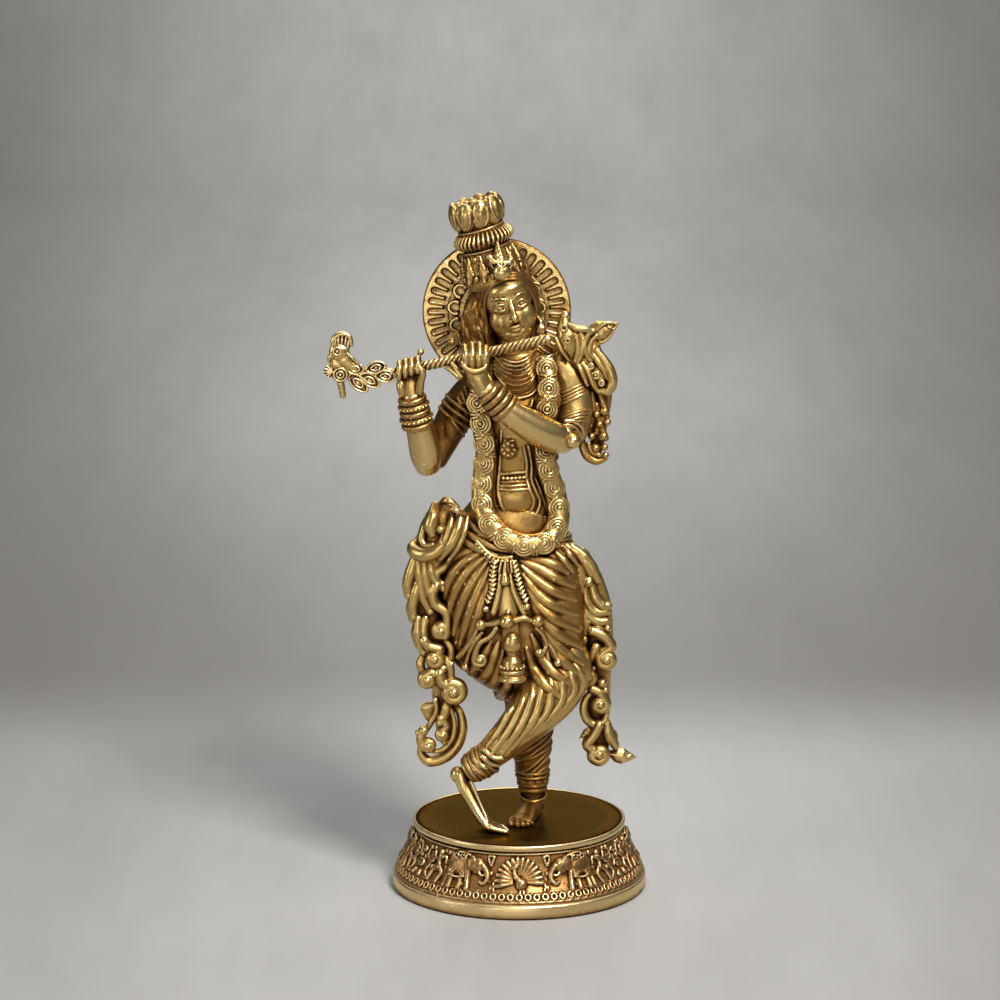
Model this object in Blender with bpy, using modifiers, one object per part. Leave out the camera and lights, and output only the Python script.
"""Cast brass statue of a flute-playing deity standing cross-legged on a round plinth.

The castings are modelled one by one in metres, +Z up, with the figure facing -Y. The figure's own
left arm is on the +X side. Lists of places and sizes are in millimetres, measured from the plinth's
axis on the resting plane; `spot` turns them into metres. Each casting is cut back from the ones
finished before it, which leaves the narrow joint that a brazed statue has between its castings.
At the end the whole statue is moved so that the origin is the middle of its box, at the bottom.
"""

import math

import bmesh
import bpy
from mathutils import Matrix, Vector

MM = 0.001

# Driving dimensions, in millimetres
PLINTH_RADIUS = 55.0
PLINTH_HEIGHT = 30.0
TOP_PLATE_RADIUS = 46.0
TOP_PLATE_THICKNESS = 2.6
BEAK_REACH = 84.0
FLUTE_RADIUS = 2.4
HALO_RADIUS = 31.7
HALO_THICKNESS = 2.6
CROWN_LEAN_DEG = 16.0
BRAZE_GAP = 0.3
SEAT_GAP = 0.35

# Places that several castings share, in millimetres
HEEL_TENON = (6.0, 1.0)
TOE_TENON = (-9.0, -24.5)
FLUTE_START = (-54.0, -14.5, 228.8)
FLUTE_END = (12.5, -20.5, 244.8)
HALO_CENTRE = (-9.8, 13.0, 250.3)
CROWN_FOOT = (-10.3, -1.5, 267.5)
CROWN_AXIS = (-math.sin(math.radians(CROWN_LEAN_DEG)), 0.0, math.cos(math.radians(CROWN_LEAN_DEG)))

DEPTH = Vector((0, 1, 0))
UP = Vector((0, 0, 1))

# Brass as it shows on each kind of casting: colour and roughness, all fully metallic
TONES = {
    "polished": ((0.78, 0.60, 0.27), 0.26),
    "satin": ((0.66, 0.48, 0.19), 0.34),
    "antique": ((0.50, 0.33, 0.12), 0.40),
    "dark": ((0.30, 0.19, 0.08), 0.46),
    "steel": ((0.55, 0.55, 0.54), 0.35),
}

finished = []
blanks = {}


def spot(x, y, z):
    """A place in metres, from millimetres measured at the plinth's axis."""
    return Vector((x, y, z)) * MM


def clear_scene():
    for obj in list(bpy.data.objects):
        bpy.data.objects.remove(obj)


def statue_collection():
    collection = bpy.data.collections.new("flute_player_statue")
    bpy.context.scene.collection.children.link(collection)
    return collection


def brass(name, tone):
    colour, roughness = TONES[tone]
    material = bpy.data.materials.new(name + "_" + tone)
    material.use_nodes = True
    shader = material.node_tree.nodes["Principled BSDF"]
    shader.inputs["Base Color"].default_value = (*colour, 1.0)
    shader.inputs["Metallic"].default_value = 1.0
    shader.inputs["Roughness"].default_value = roughness
    return material


# ---------------------------------------------------------------- shapes


def resampled(stations, rings):
    """The stations read from a Catmull-Rom curve through them, evenly in station number."""
    padded = [stations[0], *stations, stations[-1]]
    last = len(stations) - 1
    found = []
    for ring in range(rings):
        place = last * ring / (rings - 1)
        i = min(int(place), last - 1)
        t = place - i
        found.append(
            [
                b + 0.5 * t * ((c - a) + t * ((2 * a - 5 * b + 4 * c - d) + t * (3 * b - 3 * c + d - a)))
                for a, b, c, d in zip(*padded[i : i + 4])
            ]
        )
    return found


def loft_mesh(name, stations, rings, sides, across, dome):
    """A closed tube of oval sections with domed ends.

    A station is (x, y, z, half width, half depth). The half width lies square to `across` and to
    the path, and `dome` is the height of an end's dome as a share of its smaller half size.
    """
    sections = resampled(stations, rings)
    centres = [spot(*section[:3]) for section in sections]
    frames = []
    for i, section in enumerate(sections):
        along = (centres[min(i + 1, rings - 1)] - centres[max(i - 1, 0)]).normalized()
        wide = along.cross(across).normalized()
        deep = wide.cross(along)
        frames.append((centres[i], wide * section[3] * MM, deep * section[4] * MM, along))

    def domed(frame, outward):
        centre, wide, deep, along = frame
        height = along * outward * dome * min(wide.length, deep.length)
        shoulder = (centre + height * 0.7, wide * 0.72, deep * 0.72, along)
        return shoulder, centre + height

    first_shoulder, first_pole = domed(frames[0], -1)
    last_shoulder, last_pole = domed(frames[-1], 1)
    frames = [first_shoulder, *frames, last_shoulder]
    work = bmesh.new()
    loops = []
    for centre, wide, deep, _ in frames:
        turns = [2 * math.pi * k / sides for k in range(sides)]
        loops.append([work.verts.new(centre + wide * math.cos(t) + deep * math.sin(t)) for t in turns])
    for lower, upper in zip(loops, loops[1:]):
        for k in range(sides):
            n = (k + 1) % sides
            work.faces.new((lower[k], lower[n], upper[n], upper[k]))
    for loop, pole in ((loops[0], first_pole), (loops[-1], last_pole)):
        tip = work.verts.new(pole)
        for k in range(sides):
            work.faces.new((loop[k], loop[(k + 1) % sides], tip))
    bmesh.ops.recalc_face_normals(work, faces=work.faces)
    mesh = bpy.data.meshes.new(name)
    work.to_mesh(mesh)
    work.free()
    return mesh


def new_object(name, mesh):
    obj = bpy.data.objects.new(name, mesh)
    PARTS.objects.link(obj)
    return obj


def loft(name, tone, stations, rings=8, sides=12, across=DEPTH, dome=0.6):
    """A soft casting along a path, cut back from its finished neighbours."""
    return finish(new_object(name, loft_mesh(name, stations, rings, sides, across, dome)), tone)


def turned_blank(name, profile, foot, axis=UP, steps=24):
    """A turned blank: (radius, height) points in millimetres, down the outer side, spun about axis."""
    mesh = bpy.data.meshes.new(name)
    points = [(radius * MM, 0, height * MM) for radius, height in profile]
    closed = profile[0][0] > 0
    edges = [(i, i + 1) for i in range(len(points) - 1)]
    if closed:
        edges.append((len(points) - 1, 0))
    mesh.from_pydata(points, edges, [])
    obj = new_object(name, mesh)
    obj.location = spot(*foot)
    obj.rotation_mode = "QUATERNION"
    obj.rotation_quaternion = Vector(axis).to_track_quat("Z", "Y")
    screw = obj.modifiers.new("Turn", "SCREW")
    screw.steps = screw.render_steps = steps
    screw.use_merge_vertices = True
    screw.merge_threshold = 0.02 * MM
    apply_modifiers(obj)
    return obj


def turned(name, tone, profile, foot, axis=UP, steps=24):
    return finish(turned_blank(name, profile, foot, axis, steps), tone)


def rod_blank(name, start, end, radius, sides=12):
    """A plain round rod between two places, in millimetres."""
    start, end = spot(*start), spot(*end)
    work = bmesh.new()
    bmesh.ops.create_cone(
        work,
        cap_ends=True,
        segments=sides,
        radius1=radius * MM,
        radius2=radius * MM,
        depth=(end - start).length,
    )
    turn = (end - start).to_track_quat("Z", "Y").to_matrix()
    bmesh.ops.rotate(work, verts=work.verts, matrix=turn)
    bmesh.ops.translate(work, verts=work.verts, vec=(start + end) / 2)
    mesh = bpy.data.meshes.new(name)
    work.to_mesh(mesh)
    work.free()
    return new_object(name, mesh)


def band_blank(name, centre, half_width, half_depth, thickness, tilt_deg=0.0, turns=20):
    """A closed oval hoop of round wire about an upright axis, leaning tilt_deg towards -X."""
    curve = bpy.data.curves.new(name, "CURVE")
    curve.dimensions = "3D"
    curve.bevel_depth = thickness * MM
    curve.bevel_resolution = 1
    spline = curve.splines.new("POLY")
    spline.points.add(turns - 1)
    spline.use_cyclic_u = True
    slope = math.tan(math.radians(tilt_deg))
    for i, point in enumerate(spline.points):
        turn = 2 * math.pi * i / turns
        x = half_width * math.cos(turn)
        place = spot(centre[0] + x, centre[1] + half_depth * math.sin(turn), centre[2] + x * slope)
        point.co = (*place, 1)
    obj = bpy.data.objects.new(name + "_curve", curve)
    PARTS.objects.link(obj)
    bpy.context.view_layer.update()
    mesh = mesh_of(obj)
    bpy.data.objects.remove(obj)
    return new_object(name, mesh)


def plate(name, tone, outline, thickness, lean_deg=0.0):
    """A flat casting with a rounded edge, from a smooth outline of (x, z) points at one depth.

    `outline` is (depth, points). The casting turns about the upright line through its first point.
    """
    depth, points = outline
    curve = bpy.data.curves.new(name, "CURVE")
    curve.dimensions = "2D"
    curve.fill_mode = "BOTH"
    curve.extrude = (thickness / 2 - 0.5) * MM
    curve.bevel_depth = 0.5 * MM
    curve.bevel_resolution = 0
    curve.resolution_u = 2
    spline = curve.splines.new("BEZIER")
    spline.bezier_points.add(len(points) - 1)
    spline.use_cyclic_u = True
    x0, z0 = points[0]
    for bezier, (x, z) in zip(spline.bezier_points, points):
        bezier.co = ((x - x0) * MM, (z - z0) * MM, 0)
        bezier.handle_left_type = bezier.handle_right_type = "AUTO"
    obj = bpy.data.objects.new(name + "_curve", curve)
    PARTS.objects.link(obj)
    obj.location = spot(x0, depth, z0)
    obj.rotation_euler = (math.radians(90), 0, math.radians(lean_deg))
    bpy.context.view_layer.update()
    mesh = mesh_of(obj)
    mesh.transform(obj.matrix_world)
    bpy.data.objects.remove(obj)
    return finish(new_object(name, mesh), tone)


# ---------------------------------------------------------------- fitting


def mesh_of(obj):
    """The object's evaluated mesh, with coincident points made one."""
    graph = bpy.context.evaluated_depsgraph_get()
    mesh = bpy.data.meshes.new_from_object(obj.evaluated_get(graph))
    work = bmesh.new()
    work.from_mesh(mesh)
    bmesh.ops.remove_doubles(work, verts=work.verts, dist=0.005 * MM)
    bmesh.ops.recalc_face_normals(work, faces=work.faces)
    work.to_mesh(mesh)
    work.free()
    return mesh


def apply_modifiers(obj):
    """Bakes the modifiers and the placing into the object's mesh."""
    bpy.context.view_layer.update()
    mesh = mesh_of(obj)
    mesh.transform(obj.matrix_world)
    obj.modifiers.clear()
    obj.data = mesh
    obj.matrix_world.identity()
    obj.rotation_mode = "XYZ"


def grown_copy(host):
    """A cutter a braze gap larger all round than the host's blank."""
    work = bmesh.new()
    work.from_mesh(blanks[host.name])
    work.normal_update()
    moves = [v.normal * min(v.calc_shell_factor(), 2.0) * BRAZE_GAP * MM for v in work.verts]
    for vert, move in zip(work.verts, moves):
        vert.co += move
    mesh = bpy.data.meshes.new(host.name + "_cutter")
    work.to_mesh(mesh)
    work.free()
    return new_object(host.name + "_cutter", mesh)


def boolean(obj, tool, operation):
    modifier = obj.modifiers.new(operation.title() + " " + tool.name, "BOOLEAN")
    modifier.operation = operation
    modifier.solver = "EXACT"
    modifier.use_self = True
    modifier.object = tool
    tool.hide_render = True
    tool.display_type = "WIRE"


def combine(obj, *tools, operation="DIFFERENCE"):
    """Cuts the tools from the object, or joins them to it, and removes them."""
    for tool in tools:
        boolean(obj, tool, operation)
        apply_modifiers(obj)
        bpy.data.objects.remove(tool)


def box_of(obj):
    corners = [v.co for v in obj.data.vertices]
    low = [min(c[k] for c in corners) for k in range(3)]
    high = [max(c[k] for c in corners) for k in range(3)]
    return low, high


def near(one, other):
    (low_a, high_a), (low_b, high_b) = box_of(one), box_of(other)
    room = BRAZE_GAP * MM
    return all(low_a[k] < high_b[k] + room and low_b[k] < high_a[k] + room for k in range(3))


def keep_largest_body(mesh):
    """Drops the crumbs that a cut leaves beside the casting."""
    work = bmesh.new()
    work.from_mesh(mesh)
    waiting = set(work.verts)
    bodies = []
    while waiting:
        body, edge = set(), [waiting.pop()]
        while edge:
            vert = edge.pop()
            body.add(vert)
            for link in vert.link_edges:
                other = link.other_vert(vert)
                if other in waiting:
                    waiting.remove(other)
                    edge.append(other)
        bodies.append(body)
    bodies.sort(key=len)
    for crumb in bodies[:-1]:
        bmesh.ops.delete(work, geom=list(crumb), context="VERTS")
    work.to_mesh(mesh)
    work.free()


def finish(obj, tone):
    """Cuts a casting back from every finished neighbour, and gives it its brass."""
    blanks[obj.name] = obj.data.copy()
    hosts = [host for host in finished if near(obj, host)]
    combine(obj, *[grown_copy(host) for host in hosts])
    keep_largest_body(obj.data)
    obj.data.materials.clear()
    obj.data.materials.append(brass(obj.name, tone))
    obj.data.shade_smooth()
    obj.data.set_sharp_from_angle(angle=math.radians(40))
    finished.append(obj)
    return obj


def spigot(owner, host, start, end, radius, sides=8):
    """A round peg cast on the owner, and the socket that it fills in the host."""
    combine(host, rod_blank("socket", start, end, radius + BRAZE_GAP, sides))
    owner_peg_end = Vector(end) + (Vector(start) - Vector(end)).normalized() * BRAZE_GAP
    combine(owner, rod_blank("peg", start, owner_peg_end, radius, sides), operation="UNION")


# ---------------------------------------------------------------- plinth


def make_plinth():
    """The hollow flared skirt, and the top plate that the figure is bolted through."""
    skirt_top = PLINTH_HEIGHT - TOP_PLATE_THICKNESS - SEAT_GAP
    outer = [(44.6, skirt_top), (45.6, 22.0), (48.6, 15.5), (53.4, 8.0)]
    foot_band = [(PLINTH_RADIUS, 6.2), (PLINTH_RADIUS, 0.0)]
    inner = [(50.5, 0.0), (48.8, 8.0), (43.6, 17.0), (40.6, skirt_top)]
    turned("plinth_skirt", "antique", outer + foot_band + inner, (0, 0, 0), steps=32)
    rim = TOP_PLATE_RADIUS
    low, high = PLINTH_HEIGHT - TOP_PLATE_THICKNESS, PLINTH_HEIGHT
    profile = [(0, high), (rim - 0.6, high), (rim, high - 0.7), (rim, low + 0.7), (rim - 0.6, low), (0, low)]
    top = turned_blank("plinth_top", profile, (0, 0, 0), steps=32)
    holes = [
        rod_blank("hole", (*HEEL_TENON, low - 2), (*HEEL_TENON, high + 2), 2.5),
        rod_blank("hole", (*TOE_TENON, low - 2), (*TOE_TENON, high + 2), 1.9),
    ]
    combine(top, *holes)
    finish(top, "satin")


def make_fixing(name, place, bore_radius, nut_radius, nut_height):
    """A washer and a hexagon nut drawn up under the top plate on a casting's tenon."""
    under = PLINTH_HEIGHT - TOP_PLATE_THICKNESS - SEAT_GAP
    washer_bottom = under - 1.0
    washer_radius = nut_radius + 1.2
    washer = [
        (washer_radius, under),
        (washer_radius, washer_bottom),
        (bore_radius, washer_bottom),
        (bore_radius, under),
    ]
    turned(name + "_washer", "steel", washer, (*place, 0), steps=16)
    nut_top = washer_bottom - SEAT_GAP
    nut_bottom = nut_top - nut_height
    nut = [(nut_radius, nut_top), (nut_radius, nut_bottom), (bore_radius, nut_bottom), (bore_radius, nut_top)]
    turned(name + "_nut", "steel", nut, (*place, 0), steps=6)


# ---------------------------------------------------------------- legs and feet


def make_standing_leg():
    """The figure's right leg, upright under the dhoti, with its foot, tenon and anklet."""
    foot = loft(
        "right_foot",
        "dark",
        [
            (7.4, 7.0, 33.2, 3.6, 3.2),
            (6.6, 2.5, 34.2, 4.6, 4.6),
            (4.2, -5.0, 33.4, 4.8, 4.0),
            (1.4, -12.5, 32.2, 5.4, 2.6),
            (-0.6, -17.5, 31.6, 4.6, 1.8),
        ],
        across=UP,
    )
    tenon = rod_blank("tenon", (*HEEL_TENON, 20.0), (*HEEL_TENON, 33.0), 2.0)
    combine(foot, tenon, operation="UNION")
    leg = loft(
        "right_leg",
        "dark",
        [
            (4.0, 3.0, 104.0, 14.0, 12.0),
            (4.0, 1.5, 88.0, 12.0, 11.0),
            (4.8, 0.5, 72.0, 9.6, 9.6),
            (5.2, 1.5, 58.0, 8.2, 8.4),
            (5.6, 2.0, 49.0, 6.4, 6.4),
            (6.0, 2.2, 41.5, 4.9, 4.9),
        ],
        rings=9,
        sides=14,
    )
    spigot(leg, foot, (6.0, 2.2, 44.0), (6.3, 2.2, 35.5), 2.0)
    finish(band_blank("right_anklet", (5.9, 2.2, 47.2), 6.9, 6.9, 1.5, turns=16), "antique")
    return leg


def make_crossing_leg(standing_leg):
    """The figure's left leg, crossing in front from the knee to a foot that stands on its toes."""
    foot = loft(
        "left_foot",
        "polished",
        [
            (-25.6, -16.0, 53.5, 3.4, 3.6),
            (-22.2, -17.6, 46.5, 3.0, 3.8),
            (-18.4, -20.0, 40.0, 2.7, 4.0),
            (-15.0, -22.6, 34.6, 2.9, 4.2),
            (-11.5, -24.0, 32.0, 2.2, 4.0),
            (-7.2, -25.2, 31.4, 1.4, 3.4),
        ],
        rings=9,
    )
    tenon = rod_blank("tenon", (*TOE_TENON, 21.0), (*TOE_TENON, 32.4), 1.4)
    combine(foot, tenon, operation="UNION")
    leg = loft(
        "left_leg",
        "satin",
        [
            (22.0, -11.0, 102.0, 12.5, 10.0),
            (14.5, -16.0, 92.0, 12.5, 9.5),
            (5.0, -19.0, 81.0, 10.5, 8.5),
            (-5.0, -20.0, 70.5, 8.2, 7.4),
            (-14.0, -19.6, 62.0, 6.6, 6.2),
            (-20.0, -18.2, 57.6, 5.6, 5.4),
        ],
        rings=9,
        sides=14,
    )
    spigot(leg, foot, (-17.0, -18.8, 60.0), (-24.6, -16.8, 53.6), 1.7)
    loft(
        "left_anklet",
        "antique",
        [(-13.2, -19.4, 61.0, 8.0, 7.8), (-15.6, -19.0, 58.4, 7.6, 7.4)],
        rings=3,
        dome=0.25,
    )
    return leg


# ---------------------------------------------------------------- body


def make_torso():
    return loft(
        "torso",
        "antique",
        [
            (0.6, 0.5, 160.0, 18.0, 12.5),
            (0.2, 0.0, 172.0, 17.0, 11.5),
            (-0.6, -0.4, 184.0, 16.4, 11.0),
            (-0.2, -0.8, 196.0, 17.4, 11.6),
            (0.6, -0.6, 207.0, 19.8, 12.2),
            (0.2, 0.0, 218.0, 21.6, 11.6),
            (-1.0, 1.0, 227.0, 18.0, 9.4),
            (-2.0, 1.0, 233.0, 9.5, 7.4),
        ],
        rings=10,
        sides=14,
    )


def make_dhoti():
    """The draped cloth over hips and thighs, one hollow-looking casting that the legs leave below."""
    return loft(
        "dhoti",
        "antique",
        [
            (0.8, 0.5, 166.0, 19.4, 13.6),
            (-2.8, 0.0, 157.0, 24.0, 16.0),
            (-5.0, -0.6, 147.0, 28.6, 18.0),
            (-5.0, -1.4, 135.0, 31.0, 19.6),
            (-3.2, -2.2, 121.0, 30.6, 20.0),
            (0.4, -2.6, 108.0, 27.4, 19.0),
            (4.0, -2.0, 97.5, 22.6, 16.4),
            (6.0, -1.0, 90.0, 16.0, 12.4),
        ],
        rings=9,
        sides=16,
    )


def make_head():
    return loft(
        "head",
        "satin",
        [
            (-2.2, 1.0, 229.0, 6.6, 6.6),
            (-2.4, 0.4, 237.0, 6.2, 6.4),
            (-3.0, -2.4, 243.0, 8.0, 9.0),
            (-4.4, -3.2, 249.5, 11.0, 12.4),
            (-6.2, -3.0, 257.0, 12.6, 13.8),
            (-8.2, -2.6, 264.0, 12.6, 13.6),
            (-10.0, -2.2, 270.5, 11.0, 11.6),
            (-11.2, -2.0, 275.5, 7.6, 8.0),
        ],
        rings=11,
        sides=16,
    )


# ---------------------------------------------------------------- crown and halo


def make_crown():
    """Three turned castings stacked on the head's leaning axis, and the jewel on their front."""
    band = [(0, 15.0), (10.6, 15.0), (13.0, 6.0), (14.2, 1.0), (13.6, -3.0), (0, -3.0)]
    turned("crown_band", "antique", band, CROWN_FOOT, CROWN_AXIS, steps=18)
    ring = [(0, 21.6), (9.8, 21.6), (12.4, 19.6), (12.0, 16.6), (10.6, 15.4), (0, 15.4)]
    turned("crown_ring", "antique", ring, CROWN_FOOT, CROWN_AXIS, steps=18)
    lotus = [(0, 34.4), (8.0, 34.8), (9.8, 36.0), (11.6, 32.4), (11.7, 28.0), (9.2, 22.0), (0, 22.0)]
    turned("crown_lotus", "polished", lotus, CROWN_FOOT, CROWN_AXIS, steps=18)
    loft(
        "crown_jewel",
        "polished",
        [
            (-7.4, -15.6, 269.8, 3.6, 2.6),
            (-8.6, -15.0, 274.6, 2.8, 2.4),
            (-9.8, -13.6, 279.2, 2.4, 2.2),
            (-11.0, -12.4, 284.0, 1.2, 1.4),
        ],
        rings=6,
        sides=10,
    )


def make_halo(head):
    """The rayed disc behind the head, held by a domed screw through its middle."""
    rim = HALO_RADIUS
    face, back = HALO_THICKNESS, 0.0
    profile = [
        (0, face - 1.0),
        (17.0, face - 1.0),
        (17.8, face),
        (21.0, face),
        (21.8, face - 0.9),
        (27.0, face - 0.9),
        (27.8, face),
        (rim, face),
        (rim, back),
        (0, back),
    ]
    x, y, z = HALO_CENTRE
    halo = turned_blank("halo", profile, (x, y + HALO_THICKNESS, z), (0, -1, 0), steps=36)
    finish(halo, "polished")
    start, end = (x, y + HALO_THICKNESS + 1.0, z), (x, 5.0, z)
    combine(halo, rod_blank("hole", (x, y - 2, z), (x, y + 6, z), 1.9))
    combine(head, rod_blank("hole", (x, y, z), end, 1.9))
    shank = rod_blank("halo_screw", start, (x, 5.4, z), 1.5)
    head_profile = [(0, 2.2), (2.4, 1.5), (3.4, 0.0), (0, 0.0)]
    dome = turned_blank("dome", head_profile, (x, y + HALO_THICKNESS + SEAT_GAP, z), DEPTH, steps=12)
    combine(shank, dome, operation="UNION")
    finish(shank, "satin")


def make_hair():
    """The locks behind and beside the face, between the head and the halo."""
    loft(
        "hair",
        "dark",
        [
            (-16.6, 3.2, 266.2, 6.2, 7.6),
            (-17.6, 2.0, 257.0, 5.8, 9.2),
            (-16.2, 2.4, 247.0, 5.8, 9.0),
            (-12.6, 3.8, 238.2, 6.6, 6.8),
            (-9.6, 5.4, 231.0, 7.0, 4.4),
        ],
        rings=7,
    )
    loft(
        "side_lock",
        "dark",
        [
            (3.0, 4.0, 268.0, 5.0, 6.4),
            (7.4, 3.4, 257.0, 4.0, 7.4),
            (7.6, 4.0, 246.0, 4.4, 6.4),
            (5.4, 5.0, 237.0, 4.6, 4.8),
        ],
        rings=6,
    )


# ---------------------------------------------------------------- arms


def make_right_arm(torso):
    """The arm on -X: raised forearm, cuff of bangles, and the hand round the flute's far part."""
    upper = loft(
        "right_upper_arm",
        "dark",
        [
            (-18.5, 1.5, 219.0, 8.4, 8.2),
            (-24.5, 2.0, 212.0, 8.2, 7.8),
            (-31.0, 1.0, 200.5, 7.2, 7.0),
            (-36.6, -2.0, 190.0, 6.4, 6.2),
        ],
    )
    spigot(upper, torso, (-27.0, 1.8, 208.5), (-15.0, 1.2, 217.5), 2.6)
    forearm = loft(
        "right_forearm",
        "satin",
        [
            (-38.6, -5.6, 186.4, 5.6, 5.8),
            (-39.6, -7.4, 192.0, 6.8, 6.8),
            (-41.4, -9.8, 201.0, 6.4, 6.2),
            (-44.2, -12.4, 212.0, 5.2, 5.0),
            (-45.6, -13.6, 219.0, 4.4, 4.2),
        ],
        rings=9,
    )
    spigot(forearm, upper, (-40.2, -8.8, 194.8), (-35.4, -0.8, 193.2), 2.4)
    loft(
        "right_bangles",
        "antique",
        [(-43.3, -11.6, 207.2, 6.8, 6.8), (-44.4, -12.6, 212.6, 6.4, 6.4), (-45.4, -13.4, 217.6, 6.0, 6.0)],
        rings=5,
        sides=14,
        dome=0.15,
    )
    return forearm


def make_left_arm(torso):
    """The arm on +X: upper arm down, forearm across the chest, and the hand on the flute."""
    upper = loft(
        "left_upper_arm",
        "antique",
        [
            (17.5, 1.5, 229.0, 8.0, 8.0),
            (21.6, 0.6, 222.5, 8.8, 8.4),
            (23.6, -3.0, 211.0, 8.0, 7.6),
            (21.8, -8.6, 201.5, 6.8, 6.6),
        ],
    )
    spigot(upper, torso, (24.2, 0.0, 216.0), (13.0, 1.0, 221.5), 2.6)
    forearm = loft(
        "left_forearm",
        "polished",
        [
            (18.6, -13.2, 200.0, 6.4, 5.8),
            (13.0, -16.8, 202.6, 6.9, 6.2),
            (3.0, -20.4, 208.6, 6.6, 6.0),
            (-7.0, -22.8, 216.4, 5.6, 5.2),
            (-14.4, -23.8, 224.0, 4.4, 4.2),
        ],
        rings=9,
    )
    spigot(forearm, upper, (13.8, -16.6, 202.2), (21.2, -8.6, 202.6), 2.4)
    loft(
        "left_bangles",
        "antique",
        [(-6.4, -22.6, 215.8, 7.0, 6.8), (-10.2, -23.2, 219.6, 6.6, 6.4), (-13.6, -23.6, 223.2, 6.0, 6.0)],
        rings=5,
        sides=14,
        dome=0.15,
    )
    return forearm


def make_armlets():
    """The two armlets on the left upper arm, with the bead tied at the elbow."""
    loft(
        "shoulder_armlet",
        "antique",
        [(23.2, -1.2, 217.6, 9.8, 9.4), (23.9, -2.8, 213.0, 9.6, 9.2)],
        rings=3,
        sides=14,
        dome=0.15,
    )
    loft(
        "elbow_armlet",
        "antique",
        [(23.0, -5.6, 207.6, 8.8, 8.6), (22.2, -7.8, 203.6, 8.2, 8.0)],
        rings=3,
        sides=14,
        dome=0.15,
    )
    loft("elbow_bead", "polished", [(21.0, -15.6, 199.6, 3.0, 3.0), (21.4, -16.4, 197.4, 3.0, 3.0)], rings=3, sides=10)


# ---------------------------------------------------------------- flute and hands


def make_flute():
    """The round flute, held through both hands, and the bird finial at its far end."""
    flute = finish(rod_blank("flute", FLUTE_START, FLUTE_END, FLUTE_RADIUS, sides=12), "polished")
    bird = [
        (-51.0, 229.0),
        (-57.5, 233.4),
        (-64.0, 233.8),
        (-68.5, 236.2),
        (-71.6, 240.2),
        (-71.8, 244.0),
        (-75.6, 245.2),
        (-79.2, 242.0),
        (-80.2, 237.4),
        (-79.4, 233.6),
        (-BEAK_REACH, 231.0),
        (-83.4, 226.4),
        (-79.0, 224.2),
        (-77.6, 219.4),
        (-74.0, 220.6),
        (-72.6, 224.6),
        (-65.4, 220.6),
        (-61.0, 223.2),
        (-55.6, 224.4),
    ]
    plate("flute_bird", "polished", (-14.5, bird), 3.0)
    return flute


def make_hands(right_forearm, left_forearm):
    right = loft(
        "right_hand",
        "antique",
        [
            (-45.8, -13.8, 221.0, 4.4, 4.0),
            (-46.4, -14.4, 226.0, 5.4, 4.6),
            (-46.8, -14.9, 231.0, 5.6, 5.2),
            (-46.8, -15.0, 235.4, 4.2, 3.8),
        ],
        rings=7,
    )
    spigot(right, right_forearm, (-45.9, -13.8, 222.0), (-44.9, -13.0, 215.6), 1.8)
    left = loft(
        "left_hand",
        "satin",
        [
            (-17.0, -24.0, 227.4, 4.2, 3.8),
            (-18.4, -23.8, 232.0, 5.2, 4.2),
            (-19.2, -22.8, 237.6, 5.9, 5.4),
            (-19.4, -21.4, 242.6, 5.2, 4.4),
        ],
        rings=7,
    )
    spigot(left, left_forearm, (-16.6, -24.0, 228.0), (-12.2, -23.5, 221.6), 1.8)


# ---------------------------------------------------------------- ornaments


def make_garland():
    """The long flower garland, from one shoulder down over the belly and up to the other."""
    loft(
        "garland",
        "polished",
        [
            (-15.0, -8.0, 226.0, 4.2, 3.2),
            (-17.6, -10.2, 217.0, 4.6, 3.2),
            (-16.0, -11.0, 206.0, 4.7, 3.2),
            (-14.2, -10.8, 195.0, 4.8, 3.2),
            (-15.4, -10.0, 183.0, 4.8, 3.2),
            (-15.4, -11.4, 171.0, 4.8, 3.2),
            (-10.4, -15.6, 161.0, 4.8, 3.4),
            (0.4, -17.8, 155.4, 4.8, 3.6),
            (11.4, -16.6, 156.4, 4.8, 3.4),
            (16.6, -12.6, 164.6, 4.6, 3.2),
            (15.2, -10.0, 176.0, 4.6, 3.2),
            (11.6, -12.2, 188.0, 4.6, 3.2),
            (10.6, -13.0, 200.0, 4.6, 3.2),
            (11.2, -13.4, 212.0, 4.6, 3.2),
            (12.0, -12.0, 223.0, 4.4, 3.2),
            (11.0, -7.0, 232.0, 4.0, 3.0),
        ],
        rings=26,
        sides=8,
    )


def make_collar():
    finish(band_blank("collar", (-1.4, 0.6, 231.2), 10.4, 8.8, 1.7, tilt_deg=10), "antique")


def make_girdle():
    """The jewelled belt round the hips, and the loin ties that hang from its front."""
    finish(band_blank("girdle", (-2.4, 0.0, 156.0), 24.6, 16.8, 2.2, tilt_deg=-12, turns=28), "antique")
    loft(
        "front_sash",
        "antique",
        [
            (-6.0, -19.2, 149.0, 5.6, 2.6),
            (-5.6, -21.6, 138.0, 6.4, 2.8),
            (-5.0, -22.8, 127.0, 7.2, 2.8),
            (-4.0, -22.8, 118.0, 8.4, 2.8),
        ],
        rings=6,
        sides=10,
    )
    bell = [
        (0, 17.6),
        (1.8, 17.0),
        (2.8, 14.8),
        (2.4, 12.2),
        (1.8, 11.0),
        (3.8, 9.0),
        (4.6, 4.6),
        (6.0, 1.2),
        (6.0, 0.0),
        (4.6, 0.0),
        (3.6, 4.4),
        (0, 6.6),
    ]
    turned("bell", "satin", bell, (-3.2, -23.6, 98.6), steps=14)


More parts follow.
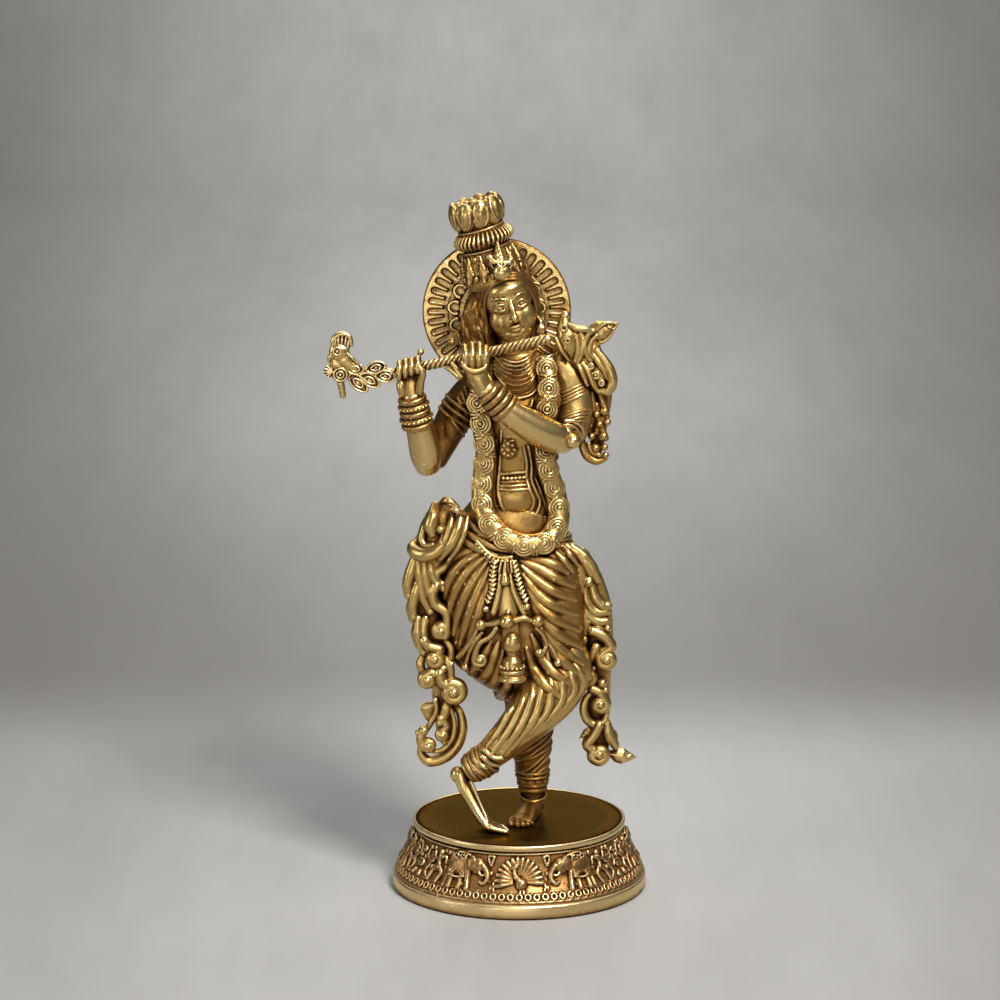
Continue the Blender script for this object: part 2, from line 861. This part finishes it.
def make_hip_sash():
    """The knot on the figure's right hip, and the curled sash end that falls from it."""
    loft(
        "hip_knot",
        "antique",
        [
            (-31.0, -7.0, 167.0, 4.6, 6.4),
            (-35.6, -8.0, 160.0, 8.2, 8.0),
            (-37.6, -8.4, 151.0, 8.4, 8.0),
            (-38.6, -8.2, 143.6, 6.6, 6.8),
        ],
        rings=7,
    )
    loft(
        "right_streamer",
        "antique",
        [
            (-40.6, -7.6, 140.0, 7.0, 5.0),
            (-41.6, -7.4, 129.0, 7.6, 5.2),
            (-39.2, -7.4, 115.0, 8.2, 5.2),
            (-37.4, -7.0, 101.0, 8.2, 5.0),
            (-34.4, -6.4, 87.0, 7.6, 4.8),
            (-31.6, -6.0, 74.0, 7.4, 4.6),
            (-34.6, -5.6, 62.0, 8.4, 4.6),
        ],
        rings=10,
        sides=10,
    )


def make_left_streamer():
    """The sash end on the figure's left side, with the leaf at its tip."""
    loft(
        "left_streamer",
        "antique",
        [
            (26.4, -4.0, 143.0, 4.2, 4.6),
            (30.4, -4.0, 132.0, 6.6, 4.8),
            (32.6, -4.2, 121.0, 7.6, 5.0),
            (33.6, -4.2, 107.0, 8.0, 5.0),
            (34.0, -4.2, 93.0, 6.4, 4.6),
            (33.6, -4.2, 80.0, 5.8, 4.4),
            (33.6, -4.2, 68.0, 5.8, 4.4),
            (34.0, -4.2, 59.6, 6.4, 4.4),
        ],
        rings=11,
        sides=10,
    )
    leaf = [(38.0, 60.6), (43.0, 62.2), (50.6, 58.2), (44.2, 53.8), (39.4, 54.8)]
    plate("streamer_leaf", "polished", (-4.2, leaf), 2.8)


def make_shoulder_drape():
    """The scarf gathered on the figure's left shoulder, its leaf-shaped end, and its beaded fall."""
    loft(
        "shoulder_scarf",
        "satin",
        [
            (16.6, 0.5, 249.6, 2.6, 3.0),
            (19.6, -0.5, 243.0, 5.0, 5.0),
            (24.0, -0.5, 235.6, 6.4, 7.0),
            (29.6, -0.5, 229.0, 6.4, 7.0),
            (32.6, 0.0, 222.0, 5.6, 6.4),
        ],
        rings=8,
    )
    leaf = [(26.0, 241.6), (31.0, 245.8), (42.0, 247.8), (38.4, 240.4), (32.6, 235.2), (28.0, 235.6)]
    plate("scarf_leaf", "polished", (-1.0, leaf), 3.4)
    loft(
        "scarf_fall",
        "antique",
        [
            (35.4, 1.0, 226.0, 5.2, 5.4),
            (36.4, 1.0, 216.0, 5.0, 5.2),
            (34.6, 1.0, 206.0, 5.4, 5.0),
            (33.6, 1.0, 197.0, 5.4, 4.6),
            (32.2, 0.6, 190.6, 4.6, 4.0),
        ],
        rings=8,
        sides=10,
    )


def make_earrings():
    for name, place in (("right_earring", (-18.4, -6.6, 243.8)), ("left_earring", (7.6, -5.4, 246.2))):
        x, y, z = place
        loft(name, "polished", [(x, y, z + 2.0, 1.8, 1.8), (x, y, z - 2.0, 2.4, 2.2)], rings=4, sides=8, dome=0.9)


def move_origin_to_box_bottom():
    boxes = [box_of(obj) for obj in finished]
    low = [min(box[0][k] for box in boxes) for k in range(3)]
    high = [max(box[1][k] for box in boxes) for k in range(3)]
    shift = Matrix.Translation((-(low[0] + high[0]) / 2, -(low[1] + high[1]) / 2, -low[2]))
    for obj in finished:
        obj.data.transform(shift)


def main():
    make_plinth()
    make_fixing("heel", HEEL_TENON, 2.4, 4.2, 3.2)
    make_fixing("toe", TOE_TENON, 1.75, 3.2, 2.4)
    standing_leg = make_standing_leg()
    make_crossing_leg(standing_leg)
    torso = make_torso()
    make_dhoti()
    head = make_head()
    spigot(head, torso, (-2.6, -0.6, 242.5), (-1.6, 0.6, 226.0), 3.4)
    right_forearm = make_right_arm(torso)
    left_forearm = make_left_arm(torso)
    make_flute()
    make_hands(right_forearm, left_forearm)
    make_crown()
    make_hair()
    make_halo(head)
    make_collar()
    make_garland()
    make_armlets()
    make_girdle()
    make_hip_sash()
    make_left_streamer()
    make_shoulder_drape()
    make_earrings()
    move_origin_to_box_bottom()


clear_scene()
PARTS = statue_collection()
main()
